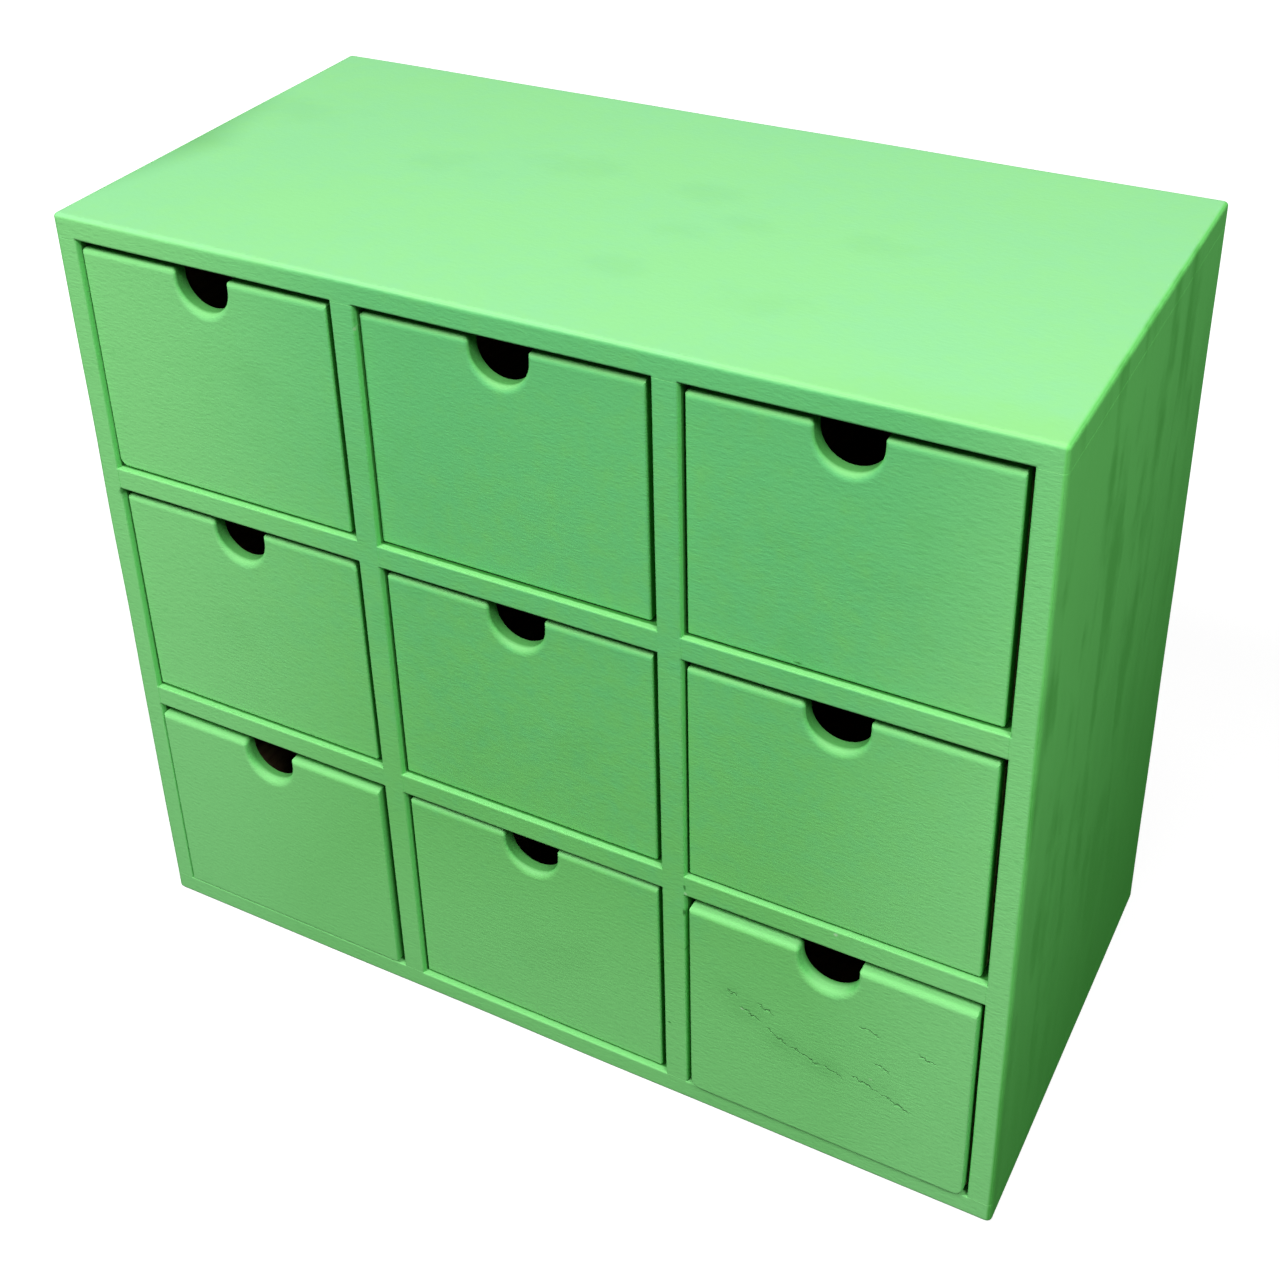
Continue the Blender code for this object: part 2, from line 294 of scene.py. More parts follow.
def carve(lines, missing=()):
    """Closed skin of a block cut out of a grid.

    Every cell between neighbouring lines is wood or air, and a four-sided face
    stands wherever the two meet. Returns the points used and the faces.
    """
    middles = np.meshgrid(*[(axis[1:] + axis[:-1]) / 2 for axis in lines], indexing="ij")
    wood = np.ones(middles[0].shape, bool)
    for low, high in missing:
        wood &= ~np.all([(m > a) & (m < b) for m, a, b in zip(middles, low, high)], axis=0)
    padded = np.pad(wood, 1).astype(int)
    shape = [len(axis) for axis in lines]
    numbers = np.arange(np.prod(shape)).reshape(shape)
    strides = np.array(numbers.strides) // numbers.itemsize
    faces = []
    for axis in range(3):
        second, third = (axis + 1) % 3, (axis + 2) % 3
        change = np.diff(padded, axis=axis)
        change = change[tuple(slice(None) if a == axis else slice(1, -1) for a in range(3))]
        for turn, order in ((-1, (0, 1, 2, 3)), (1, (3, 2, 1, 0))):
            first = np.argwhere(change == turn) @ strides
            around = np.array((0, strides[second], strides[second] + strides[third], strides[third]))
            faces.append((first[:, None] + around)[:, order])
    faces = np.concatenate(faces)
    used, faces = np.unique(faces, return_inverse=True)
    points = np.stack([m.ravel()[used] for m in np.meshgrid(*lines, indexing="ij")], axis=1)
    return points, faces.reshape(-1, 4)


def round_box(points, box, radii):
    """Draw points near the edges of a box onto an elliptical rounding.

    A point's place between the box and a smaller box inside it is a direction
    with its longest part 1 on the skin; scaled to length 1 it lies on the round.
    """
    inner = np.clip(points, box[0] + radii, box[1] - radii)
    out = (points - inner) / radii
    length = np.linalg.norm(out, axis=1, keepdims=True)
    longest = np.abs(out).max(axis=1, keepdims=True)
    return inner + np.divide(out * longest, length, out=out.copy(), where=length > 0) * radii


def round_openings(points, radius):
    """Round the front edges of the openings.

    u is how far a point lies in the wood beside the nearest opening, measured
    straight out from it, and v its depth behind the front. Inside a radius of
    the edge, (u, v) is drawn onto a circle about the point (radius, radius).
    Edges that face up, which saw less sanding, have a smaller radius.
    """
    x, y, z = points.T[:, :, None]
    aside = np.stack([np.maximum(OPENINGS[:, 0] - x, x - OPENINGS[:, 1]),
                      np.maximum(OPENINGS[:, 2] - z, z - OPENINGS[:, 3])], axis=-1)
    sides = np.stack([np.sign(x - OPENINGS[:, :2].mean(axis=1)),
                      np.sign(z - OPENINGS[:, 2:].mean(axis=1))], axis=-1)
    beyond = np.maximum(aside, 0)
    far = np.linalg.norm(beyond, axis=-1)
    nearest = far.argmin(axis=1)
    row = np.arange(len(points))
    u = far[row, nearest]
    at_edge = aside[row, nearest] > -SAME_PLACE * 10
    way = np.where(u[:, None] > SAME_PLACE, beyond[row, nearest], at_edge) * sides[row, nearest]
    way = way / np.maximum(np.linalg.norm(way, axis=1, keepdims=True), SAME_PLACE)
    under = np.clip(-way[:, 1], 0, 1) ** 2
    radius = radius * (1 - under * (1 - SHELF_EDGE_RADIUS / OPENING_RADIUS))
    v = y[:, 0] - FRONT_Y
    corner = np.clip(1 - np.stack([u, v], axis=1) / radius[:, None], 0, None)
    length = np.maximum(np.linalg.norm(corner, axis=1), SAME_PLACE)
    pull = radius * (1 - corner.max(axis=1) / length)
    moved = points.copy()
    moved[:, (0, 2)] += way * (corner[:, :1] * pull[:, None])
    moved[:, 1] += corner[:, 1] * pull
    return moved


def put_mesh(name, points, faces, caps=()):
    """A smooth mesh object from whole arrays of points and four-sided faces, with flat ends."""
    mesh = bpy.data.meshes.new(name)
    if len(caps):
        mesh.from_pydata(points.tolist(), [], faces.tolist() + [list(map(int, cap)) for cap in caps])
    else:
        mesh.vertices.add(len(points))
        mesh.vertices.foreach_set("co", points.astype(np.float32).ravel())
        mesh.loops.add(faces.size)
        mesh.loops.foreach_set("vertex_index", faces.astype(np.int32).ravel())
        mesh.polygons.add(len(faces))
        mesh.polygons.foreach_set("loop_start", np.arange(0, faces.size, 4, dtype=np.int32))
        mesh.update(calc_edges=True)
    mesh.validate()
    mesh.shade_smooth()
    mesh.set_sharp_from_angle(angle=SHARP_ANGLE)
    piece = bpy.data.objects.new(name, mesh)
    bpy.context.scene.collection.objects.link(piece)
    return piece


def fit_piece(piece, node, body, material):
    """Let a piece stand for a CAD solid, ride with its body and take its finish."""
    piece.data.materials.append(material)
    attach(piece, body)
    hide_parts(node)


def carcase_board(name, box, missing, set_back=0):
    """One carcase board: a carved block with its seams broken, then rounded with the whole carcase."""
    seam = (SEAM_BREAK / 2, SEAM_BREAK, -SEAM_BREAK / 2, -SEAM_BREAK)
    opening_near = np.append(ROUND_LINES, SUPPORT_LINE)
    opening_near = np.outer((OPENING_RADIUS, SHELF_EDGE_RADIUS), opening_near).ravel()
    opening_near = np.concatenate([-opening_near, [0], opening_near])
    opening_edges = (OPENING_XS, [FRONT_Y], OPENING_ZS)
    cuts = np.array(missing).reshape(-1, 3)
    lines = []
    for axis in range(3):
        outer_near = np.append(ROUND_LINES, SUPPORT_LINE) * OUTER_RADII[axis]
        outer_near = np.concatenate([-outer_near, outer_near])
        marks = [(box[:, axis], seam), (opening_edges[axis], opening_near), (CARCASE[:, axis], outer_near),
                 (cuts[:, axis], (0,))]
        lines.append(grid_lines(box[0, axis], box[1, axis], marks, BOARD_STEP))
    points, faces = carve(lines, missing)
    uneven = wobble(points, OUTER_UNEVEN_LENGTH, 3)[:, None]
    radius = OPENING_RADIUS * (1 + OPENING_UNEVEN * wobble(points, OPENING_UNEVEN_LENGTH, 7))
    rounded = round_box(points, box, np.array(SEAM_BREAK))
    rounded = round_box(rounded, CARCASE, OUTER_RADII * (1 + OUTER_UNEVEN * uneven))
    rounded = round_openings(rounded, radius)
    rounded[:, 1] += set_back * np.clip(1 - (rounded[:, 1] - FRONT_Y) / OPENING_RADIUS, 0, 1)
    return put_mesh(name, rounded, faces)


class Finish(Nodes):
    """The nodes of one material round its Principled shader."""

    def __init__(self, name):
        self.material = bpy.data.materials.new(name)
        self.material.use_nodes = True
        super().__init__(self.material.node_tree)
        self.shader = self.tree.nodes["Principled BSDF"]
        self.place = self.node("ShaderNodeTexCoord", {}, {}, "Object")

    def most(self, first, second):
        """The larger of two values."""
        return self.math("MAXIMUM", first, second)

    def attribute(self, name):
        """A value that the mesh carries at its points."""
        return self.node("ShaderNodeAttribute", {"attribute_name": name}, {}, "Fac")

    def facing(self, axis):
        """How far the surface faces along an axis, from -1 to 1."""
        normal = self.node("ShaderNodeNewGeometry", {}, {}, "Normal")
        return self.node("ShaderNodeSeparateXYZ", {}, {0: normal}, axis)

    def stretch(self, factors):
        """The object's own coordinates, multiplied along each axis."""
        return self.node("ShaderNodeVectorMath", {"operation": "MULTIPLY"}, {0: self.place, 1: factors})

    def noise(self, scale, detail, roughness, place=None):
        """Cloudy unevenness about 0.5, with a cloud per 1 / scale metres."""
        return self.node("ShaderNodeTexNoise", {}, {"Vector": place or self.place, "Scale": scale,
                                                   "Detail": detail, "Roughness": roughness})

    def step(self, value, low, high):
        """Smooth rise from 0 at low to 1 at high."""
        return self.node("ShaderNodeMapRange", {"interpolation_type": "SMOOTHSTEP"},
                         {"Value": value, "From Min": low, "From Max": high, "To Min": 0, "To Max": 1})

    def part(self, axis):
        """One of the object's own coordinates."""
        return self.node("ShaderNodeSeparateXYZ", {}, {0: self.place}, axis)

    def emboss(self, height):
        """A Normal from a height in metres."""
        return self.node("ShaderNodeBump", {}, {"Strength": 1, "Distance": 1, "Height": height})


# Green paint: cooler or warmer in clouds, thin or thick, paler at the ends as painted light, with a painted
# sheen on the top, a painted highlight inside on edges that look up, sallow at the top's right front, a
# painted highlight on upright arrises, a lit copy with painted shade on the flanks, and painted shade in the
# gaps. Then grime that also serves as painted shade, pale chips, and the wood below.
PAINT_COOL = (0.138, 0.560, 0.190, 1)
PAINT_WARM = (0.166, 0.575, 0.150, 1)
PAINT_THIN = (0.185, 0.620, 0.190, 1)
# Paler green: painted light at the ends of the fronts, and paler lower down
PAINT_PALE = (0.240, 0.705, 0.238, 1)
PAINT_THICK = (0.122, 0.520, 0.140, 1)
# Painted sheen on the top in two tones, and a painted highlight on inner edges that look up
PAINT_TOP_SHEEN = (0.260, 0.655, 0.292, 1)
PAINT_TOP_SHEEN_WARM = (0.268, 0.668, 0.265, 1)
PAINT_UP_EDGE_HIGHLIGHT = (0.214, 0.632, 0.206, 1)
PAINT_SALLOW = (0.262, 0.660, 0.215, 1)
# Painted highlight on side-facing arrises and shallow walls inside the carcase
PAINT_ARRIS_HIGHLIGHT = (0.155, 0.680, 0.165, 1)
# A lit copy of the green for the flanks, and its painted shade lower down and towards the back, also used
# for the strokes
PAINT_FLANK_LIT = (0.165, 0.690, 0.150, 1)
PAINT_FLANK_SHADE_AND_STROKES = (0.080, 0.450, 0.066, 1)
# Painted shade in the gaps and deep in the openings
PAINT_SHADE_IN_GAPS = (0.048, 0.270, 0.044, 1)
# Grime for smudges and cracks, also painted shade for the top's left end and the openings' corners
GRIME_AND_SHADE = (0.040, 0.220, 0.040, 1)
CHIP = (0.420, 0.740, 0.390, 1)
WOOD_LIGHT = (0.52, 0.36, 0.20, 1)
WOOD_DARK = (0.34, 0.21, 0.105, 1)
# Waves per metre of each unevenness. Where it is drawn out they are along X, Y and Z, or across and
# along the grain
CLOUDS = 18.0
PATCHES = 60.0
MOTTLE = 150.0
PEEL = 520.0
SWELL = 28.0
DASHES = (380.0, 900.0, 1050.0)
STROKES = (70.0, 60.0, 13.0)
WOOD_STREAKS = (300.0, 15.0)
WOOD_PORES = (900.0, 60.0)
# Heights of the unevenness and depth of the cracks
PEEL_HEIGHT = 0.000045
WRINKLE_HEIGHT = 0.00017
SWELL_HEIGHT = 0.00018
STROKE_HEIGHT = 0.00012
WOOD_HEIGHT = 0.00004
CRACK_DEPTH = 0.00030
CRACK_WIDTH = 0.00060
CRACK_FADE = 0.0025
CRACK_WANDER = 0.010
# How far in the brush reached and how much its edge wanders, and where the painted shade of the gaps begins
BRUSH_REACH = 0.016
BRUSH_FADE = 0.004
BRUSH_WANDER = 0.012
GAP_DEPTH = 0.0021
GAP_FADE = 0.0006
OUTER_SKIN = 0.004
# The chest's middle and half of its size, then from where to where the paint is made paler as painted light
# left of and right of that middle, and paler below it, and how fast it warms downwards
MIDDLE = CARCASE.mean(axis=0)
HALF = (CARCASE[1] - CARCASE[0]) / 2
PALE_LEFT = (0.02, 0.17)
PALE_RIGHT = (0.09, 0.19)
PALE_LOW = (0.03, 0.14)
HUE_CHANGE = 3.6
HUE_MIDDLE_RISE = 0.03
# On the top: the sallow strip behind the front edge, and the shaded wedge at the left end
SALLOW_DEPTH = 0.022
SALLOW_RIGHT = (0.02, 0.17)
SHADE_OF_LEFT_END = (0.156, 0.184)
SHADE_MIDDLE_Y = -0.012
SHADE_TAPER = 0.30
# How far a face must look up, or aside, and lie from the end of the chest, to count as top, flank or arris
LOOKS_UP = (0.2, 0.9)
LOOKS_ASIDE = (0.05, 0.60)
FLANK_FROM = (0.0010, 0.0028)
ARRIS_LOOKS_ASIDE = (0.4, 0.9)
ARRIS_TO = 0.002
SATIN_ROUGHNESS = 0.66
PAINT_SHEEN = 0.16
ALONG_X, ALONG_Y = 0, 1


def wood_colour(finish, along):
    """Pale wood: streaks drawn out along one axis, and short dark pores."""
    streak_waves, pore_waves = (np.where(np.arange(3) == along, with_grain, across_grain).tolist()
                                for across_grain, with_grain in (WOOD_STREAKS, WOOD_PORES))
    streaks = finish.noise(1.0, 4.0, 0.6, finish.stretch(streak_waves))
    pores = finish.step(finish.noise(1.0, 1.0, 0.5, finish.stretch(pore_waves)), 0.60, 0.72)
    share = finish.step(streaks, 0.3, 0.7)
    return finish.blend(share * 0.75 + pores * 0.25, WOOD_LIGHT, WOOD_DARK), streaks, pores


def blots(finish, rows, ragged):
    """Oval blots, each of its own strength.

    The distance from a blot's middle, scaled by its reaches and roughened,
    fades it out. Where blots overlap the stronger counts.
    """
    total = None
    for place, reach, strength in rows:
        offset = finish.node("ShaderNodeVectorMath", {"operation": "SUBTRACT"}, {0: finish.place, 1: place})
        share = finish.node("ShaderNodeVectorMath", {"operation": "DIVIDE"}, {0: offset, 1: reach})
        distance = finish.node("ShaderNodeVectorMath", {"operation": "LENGTH"}, {0: share}, "Value")
        blot = finish.step(distance + (ragged - 0.5) * 2.0, 1.1, 0.1) * strength
        total = blot if total is None else finish.most(total, blot)
    return total


def cracks(finish, rows, wander):
    """1 along each fine crack: near a line between two places on the front, and fading at its ends."""
    total = None
    x, z = finish.part("X"), finish.part("Z")
    for x0, z0, x1, z1 in rows:
        length = float(np.hypot(x1 - x0, z1 - z0))
        run, rise = (x1 - x0) / length, (z1 - z0) / length
        along = (x - x0) * run + (z - z0) * rise
        across = abs((z - z0) * run - (x - x0) * rise + (wander - 0.5) * CRACK_WANDER)
        ends = finish.step(along, 0, CRACK_FADE) * (1 - finish.step(along, length - CRACK_FADE, length))
        line = (1 - finish.step(across, 0, CRACK_WIDTH)) * ends
        total = line if total is None else finish.most(total, line)
    return total


class GreenPaint(Finish):
    """Satin paint laid on with a brush.

    Its colour drifts in clouds between cooler and warmer green. Its surface is
    uneven at three scales: a fine peel, the dashes of the grain below, and a
    slow swell. Faces that look up carry painted sheen and highlight, the flanks
    a lit copy of the green with upright brush strokes and painted shade lower
    down, and the gaps and openings painted shade, until the paint stops.
    """

    def __init__(self, name, gap_from):
        super().__init__(name)
        self.clouds = self.noise(CLOUDS, 3.0, 0.55)
        self.patches = self.noise(PATCHES, 3.0, 0.6)
        self.mottle = self.noise(MOTTLE, 3.0, 0.6)
        self.peel = self.noise(PEEL, 2.0, 0.55)
        self.dashes = self.noise(1.0, 3.0, 0.6, self.stretch(DASHES))
        self.strokes = self.noise(1.0, 2.0, 0.50, self.stretch(STROKES))
        self.x, self.y, z = (self.part(axis) for axis in range(3))
        self.below = MIDDLE[2] - z
        self.off_x = abs(self.x) - (HALF[0] - OUTER_SKIN)
        off_z = abs(self.below) - (HALF[2] - OUTER_SKIN)
        farthest_out = self.most(self.most(self.off_x, off_z), self.y - PANEL[1, 1])
        self.outside = self.math("GREATER_THAN", farthest_out, 0.0)
        self.upward = self.step(self.facing(2), *LOOKS_UP)
        self.sideways = abs(self.facing(0))
        self.flank = self.step(self.sideways, *LOOKS_ASIDE) * self.step(self.off_x, *FLANK_FROM)
        inward = self.y + (self.patches - 0.5) * BRUSH_WANDER + (self.peel - 0.5) * (BRUSH_WANDER / 4)
        deep = self.step(inward, FRONT_Y + BRUSH_REACH, FRONT_Y + BRUSH_REACH + BRUSH_FADE)
        self.bare = self.most(deep * (1 - self.outside), self.attribute("unpainted"))
        # Painted shade past the front in the carcase's gaps, and where the mesh carries it on the drawer
        # fronts
        past_front = self.step(self.y + (self.peel - 0.5) * GAP_FADE, gap_from, gap_from + GAP_FADE)
        self.gap_shade = self.most(past_front * (1 - self.outside), self.attribute("gap_shade"))

    def front_colour(self):
        """Clouds of cooler and warmer green, warmer lower down, painted light at both ends, and paler at the
        foot.
        """
        height = (self.below + HUE_MIDDLE_RISE) * HUE_CHANGE
        hue = self.step((self.mottle - 0.5) * 1.1 + (self.clouds - 0.5) * 0.9 + height, -0.45, 0.45)
        paint = self.blend(hue, PAINT_COOL, PAINT_WARM)
        thick = self.step(self.clouds + (self.patches - 0.5) * 0.5, 0.42, 0.20) * 0.5
        paint = self.blend(thick, paint, PAINT_THICK)
        # Painted light: paler towards both ends; and paler lower down
        ends = self.most(self.step(-self.x, *PALE_LEFT), self.step(self.x + self.below * 0.2, *PALE_RIGHT))
        pale = self.most(ends, self.step(self.below, *PALE_LOW) * 0.62)
        paint = self.blend(pale, paint, PAINT_PALE)
        paint = self.blend(self.step(self.patches, 0.55, 0.80) * 0.25, paint, PAINT_THIN)
        return self.blend(self.step(self.dashes, 0.45, 0.25) * 0.25, paint, PAINT_THICK)

    def top_colour(self):
        """Painted sheen in clouds, sallow near the right front, painted shade at the left end; a painted
        highlight inside.
        """
        clouds = self.step(self.mottle * 0.4 + self.clouds * 0.6, 0.36, 0.64)
        # Painted sheen on the top, in clouds of two tones
        top_sheen = self.blend(clouds, PAINT_TOP_SHEEN, PAINT_TOP_SHEEN_WARM)
        from_edge = FRONT_Y + SALLOW_DEPTH - self.y + (self.patches - 0.5) * 0.03
        sallow = self.step(self.x, *SALLOW_RIGHT) * self.step(from_edge, 0, 0.02)
        top_sheen = self.blend(sallow * 0.7, top_sheen, PAINT_SALLOW)
        # Painted shade along the left end of the top
        left_end = self.step(-self.x - abs(self.y - SHADE_MIDDLE_Y) * SHADE_TAPER, *SHADE_OF_LEFT_END)
        top_sheen = self.blend(left_end * 0.42, top_sheen, GRIME_AND_SHADE)
        # Faces that look up inside the carcase and on the fronts take a painted highlight
        return self.blend(self.outside, PAINT_UP_EDGE_HIGHLIGHT, top_sheen)

    def flank_colour(self):
        """A lit copy of the green, with painted shade towards the foot and the back, and soft upright
        strokes.
        """
        foot = self.below + (self.y - MIDDLE[1]) * 0.7 + (self.strokes - 0.5) * 0.16
        paint = self.blend(self.step(foot, -0.15, 0.22), PAINT_FLANK_LIT, PAINT_FLANK_SHADE_AND_STROKES)
        strokes = self.step(self.strokes + (self.patches - 0.5) * 0.25, 0.52, 0.30)
        return self.blend(strokes * 0.65, paint, PAINT_FLANK_SHADE_AND_STROKES)

    def paint(self, smudges, dark_spots, chips, crack_rows=()):
        """Join the colours, marks and heights to the shader, with bare wood where the paint stops."""
        # Faces that look up take the painted sheen and highlight of top_colour
        paint = self.blend(self.upward, self.front_colour(), self.top_colour())
        # Painted highlight on faces that look aside inside the carcase
        arris = self.step(self.sideways, *ARRIS_LOOKS_ASIDE) * (1 - self.step(self.off_x, 0, ARRIS_TO))
        paint = self.blend(arris * 0.8, paint, PAINT_ARRIS_HIGHLIGHT)
        # The flanks take their lit copy of the green with its painted shade
        paint = self.blend(self.flank, paint, self.flank_colour())
        # Painted shade in the gaps
        paint = self.blend(self.gap_shade, paint, PAINT_SHADE_IN_GAPS)
        paint = self.blend(blots(self, smudges, self.patches), paint, GRIME_AND_SHADE)
        # Dark spots, some of them painted shade in the openings' corners
        paint = self.blend(blots(self, dark_spots, self.peel), paint, GRIME_AND_SHADE)
        paint = self.blend(blots(self, chips, self.peel), paint, CHIP)
        wood, streaks, pores = wood_colour(self, ALONG_Y)
        colour = self.blend(self.bare, paint, wood)
        wrinkles = self.dashes * (1 - self.flank) * (1 - self.upward * 0.6) * WRINKLE_HEIGHT
        swell = self.noise(SWELL, 1.0, 0.5) * SWELL_HEIGHT
        height = self.peel * PEEL_HEIGHT + wrinkles + swell + self.strokes * self.flank * STROKE_HEIGHT
        if crack_rows:
            lines = cracks(self, crack_rows, self.peel * 0.4 + self.patches * 0.6)
            colour = self.blend(lines * 0.22, colour, GRIME_AND_SHADE)
            height = height - lines * CRACK_DEPTH
        satin = SATIN_ROUGHNESS + (self.patches - 0.5) * 0.14 + (self.peel - 0.5) * 0.10
        self.join(self.shader, {
            "Base Color": colour,
            "Roughness": satin + self.bare * 0.25,
            "Normal": self.emboss(height * (1 - self.bare) + self.bare * streaks * WOOD_HEIGHT),
            "Specular IOR Level": PAINT_SHEEN,
        })
        return self.material


# Marks by place, reach and strength: faint smudges on the top, dark spots along the edges of the openings,
# some of them painted shade in the corners under the boards above, and chips down to pale paint
TOP_Z = CARCASE[1, 2]
TOP_SMUDGES = [((x, y, TOP_Z), (reach, reach * 0.6, 0.004), 0.05) for x, y, reach in (
    (0.025, -0.009, 0.016), (0.042, 0.004, 0.014), (0.020, 0.023, 0.020), (-0.033, 0.025, 0.022),
    (-0.078, 0.009, 0.022), (0.016, -0.042, 0.014), (0.069, -0.046, 0.018), (0.088, 0.006, 0.018),
    (-0.165, 0.030, 0.030))]
BOARD_SPOTS_AND_CORNER_SHADE = [((x, FRONT_Y, z), (across, 0.004, up), 0.85) for x, z, across, up in (
    (-0.052, 0.201, 0.0012, 0.0030), (-0.171, 0.202, 0.0016, 0.0026), (0.063, 0.1058, 0.0006, 0.0014),
    (0.0625, 0.094, 0.0006, 0.0022), (0.0632, 0.0763, 0.0007, 0.0010), (0.0562, 0.0369, 0.0009, 0.0009),
    (-0.0530, 0.2990, 0.0012, 0.0022))]
BOARD_CHIPS = [((x, FRONT_Y, z), (reach, 0.004, reach), 1) for x, z, reach in (
    (-0.0535, 0.2966, 0.0010), (0.0632, 0.1030, 0.0009), (0.1190, 0.1093, 0.0009))]
carcase_paint = GreenPaint("carcase_paint", FRONT_Y + GAP_DEPTH).paint(TOP_SMUDGES, BOARD_SPOTS_AND_CORNER_SHADE, BOARD_CHIPS)
middle_y = (FRONT_Y + PANEL[0, 1]) / 2
slot_low_y = np.array((FRONT_Y - 1, middle_y))
slot_high_y = np.array((middle_y, PANEL[1, 1]))
FAR = 9.0


def slots(boards, axis, ys):
    """Where other boards cross a board: their thickness along one axis and a stretch of depth."""
    cuts = []
    for board in boards:
        low = np.array((-FAR, ys[0], -FAR))
        high = np.array((FAR, ys[1], FAR))
        low[axis], high[axis] = board[:, axis]
        cuts.append((low, high))
    return cuts


inside_of_sides = (UPRIGHTS[0][1, 0], UPRIGHTS[3][0, 0])
inside_of_ends = (LEVELS[0][1, 2], LEVELS[3][0, 2])
for node in ("top_board", "bottom_board"):
    board = carcase_board("painted_" + node, node_box(node), [PANEL])
    fit_piece(board, node, BODY_OF_CARCASE, carcase_paint)
for node in ("left_side_board", "right_side_board"):
    box = node_box(node)
    box[:, 2] = inside_of_ends
    board = carcase_board("painted_" + node, box, [PANEL])
    fit_piece(board, node, BODY_OF_CARCASE, carcase_paint)
for node in ("left_divider", "right_divider"):
    box = node_box(node)
    box[:, 2] = inside_of_ends
    box[1, 1] = PANEL[0, 1]
    board = carcase_board("painted_" + node, box, slots(LEVELS[1:3], 2, slot_high_y))
    fit_piece(board, node, BODY_OF_CARCASE, carcase_paint)
for node in ("lower_shelf", "upper_shelf"):
    box = node_box(node)
    box[:, 0] = inside_of_sides
    box[1, 1] = PANEL[0, 1]
    board = carcase_board("painted_" + node, box, slots(UPRIGHTS[1:3], 0, slot_low_y), SHELF_SET_BACK)
    fit_piece(board, node, BODY_OF_CARCASE, carcase_paint)

# ---------------------------------------------------------------------------
# Back panel. A thin sheet of hardboard let into a groove all round. Its inner
# face is smooth and its outer face carries the print of the press screen.
# ---------------------------------------------------------------------------
HARDBOARD_DARK = (0.210, 0.118, 0.058, 1)
HARDBOARD_LIGHT = (0.330, 0.195, 0.102, 1)
# Waves per metre, then the pitch and height of the print
FIBRES = 420.0
FIBRE_CLOUDS = 30.0
SCREEN_PITCH = 0.0016
SCREEN_HEIGHT = 0.00010
FIBRE_HEIGHT = 0.00002
BARE_SHEEN = 0.35
THIN_EDGE = 0.0003
PANEL_STEP = 0.012


def plain_board(name, box, missing=(), edge=THIN_EDGE, step=PANEL_STEP):
    """A sawn board with its edges broken all round, and grooves where given."""
    near = np.append(ROUND_LINES, SUPPORT_LINE) * edge
    near = np.concatenate([-near, near])
    cuts = np.array(missing).reshape(-1, 3)
    lines = [grid_lines(box[0, axis], box[1, axis], [(box[:, axis], near), (cuts[:, axis], (0,))], step)
             for axis in range(3)]
    points, faces = carve(lines, missing)
    return put_mesh(name, round_box(points, box, np.array(edge)), faces)


def hardboard(name, screen_side):
    """Pressed brown fibre: fine flecks, and a woven print where the height given by screen_side is up."""
    finish = Finish(name)
    fibres = finish.noise(FIBRES, 4.0, 0.7)
    clouds = finish.noise(FIBRE_CLOUDS, 3.0, 0.6)
    share = finish.step(fibres * 0.6 + clouds * 0.4, 0.38, 0.62)
    colour = finish.blend(share, HARDBOARD_DARK, HARDBOARD_LIGHT)
    turn = 2 * np.pi / SCREEN_PITCH
    weave = finish.math("SINE", finish.part("X") * turn) * finish.math("SINE", finish.part("Z") * turn)
    screen = finish.math("GREATER_THAN", finish.part("Y"), screen_side)
    finish.join(finish.shader, {
        "Base Color": colour,
        "Roughness": 0.50 + screen * 0.25 + (clouds - 0.5) * 0.2,
        "Normal": finish.emboss(fibres * FIBRE_HEIGHT + screen * weave * SCREEN_HEIGHT),
        "Specular IOR Level": BARE_SHEEN,
    })
    return finish.material


panel = plain_board("hardboard_back_panel", PANEL)
panel_hardboard = hardboard("panel_hardboard", PANEL.mean(axis=0)[1])
fit_piece(panel, "back_panel", BODY_OF_CARCASE, panel_hardboard)

# ---------------------------------------------------------------------------
# Drawer fronts. Nine boards, each with a half-round finger notch cut in its
# top edge, rounded all round the face and thickly painted.
# ---------------------------------------------------------------------------
DRAWERS = [name for name in frame["bodies"] if name != BODY_OF_CARCASE]
CORNER_RADIUS = 0.0008
WORN_RADIUS = 0.0034
WORN_CORNERS = {
    "top_left": ("low_left",),
    "middle_left": ("high_right",),
    "bottom_right": ("low_left", "low_right"),
}
NOTCH_RADIUS = 0.0110
NOTCH_STRAIGHT = 0.0035
LEFT_LIP_RADIUS = 0.0020
RIGHT_LIP_RADIUS = 0.0010
LEAST_RADIUS = 0.0002
TOP_ROUND = 0.0021
SIDE_ROUND = 0.0010
LOW_ROUND = 0.0008
NOTCH_SIDE_ROUND = 0.0015
NOTCH_LOW_ROUND = 0.0027
# How much painted shade the notch's walls take, and from what depth behind the carcase's front the fronts'
# walls take it
NOTCH_DARK = 0.75
FRONT_DARK_FROM = 0.0028
REAR_ROUND = 0.0004
FLAT_RIM = 0.0004
ROUND_UNEVEN = 0.12
ROUND_UNEVEN_LENGTH = 0.06
OUTLINE_STEP = 0.005
ARC_STEP_DEGREES = 10
# Rings of the outline: one on the flat face, these on its rounding, and five behind it. Then how far
# through the board, and round its rear edge, a ring lies, and how much painted shade the rounding's last
# ring but one takes
TURN_RINGS = 7
RINGS_BEHIND = 5
MIDDLE_RING = 0.6
REAR_TURN = 0.3
DARK_AT_TURN = 0.4


